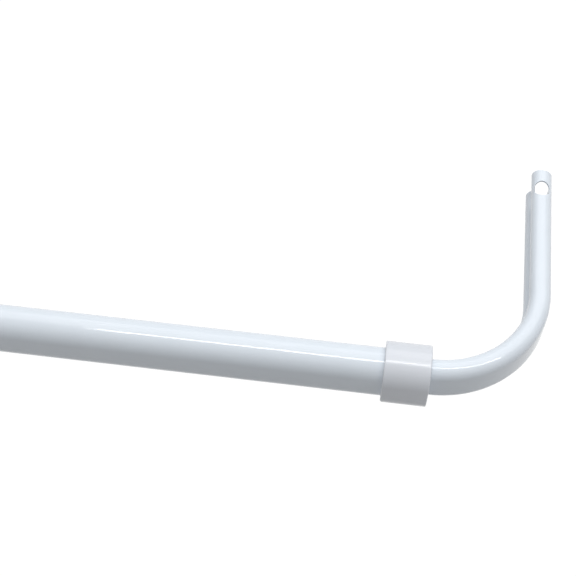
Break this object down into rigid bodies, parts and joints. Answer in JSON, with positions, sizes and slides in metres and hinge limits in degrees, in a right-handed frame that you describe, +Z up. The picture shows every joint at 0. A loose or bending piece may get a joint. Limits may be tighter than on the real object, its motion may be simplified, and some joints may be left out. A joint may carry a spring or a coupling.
{
  "type": "curtain rod",
  "caption": "Adjustable curtain rod: two nested rolled-steel rods with a seam at the back, returns bent back to the wall, hook holes near the wall ends and a moulded collar where one rod slides in the other.",
  "frame": {"origin": "under the middle of the closed rod, at the lowest point of the collar, half-way between the front of the collar and the wall", "axes": "+X along the rod from the outer rod's return to the inner rod's return, +Y towards the wall, +Z up as hung"},
  "size_m": [0.711, 0.1254, 0.0308],
  "materials": {
    "enamelled_steel": "gloss white enamel on rolled steel sheet",
    "moulded_collar": "moulded white plastic, satin gloss",
    "moulded_glide": "moulded natural white plastic"
  },
  "bodies": {
    "outer": {"outer_rod": "enamelled_steel", "collar": "moulded_collar"},
    "inner": {"inner_rod": "enamelled_steel", "end_glide": "moulded_glide"}
  },
  "joints": [
    {"name": "inner_slide", "type": "slide", "parent": "outer", "child": "inner", "axis": [1, 0, 0], "range_m": [0, 0.508]}
  ]
}
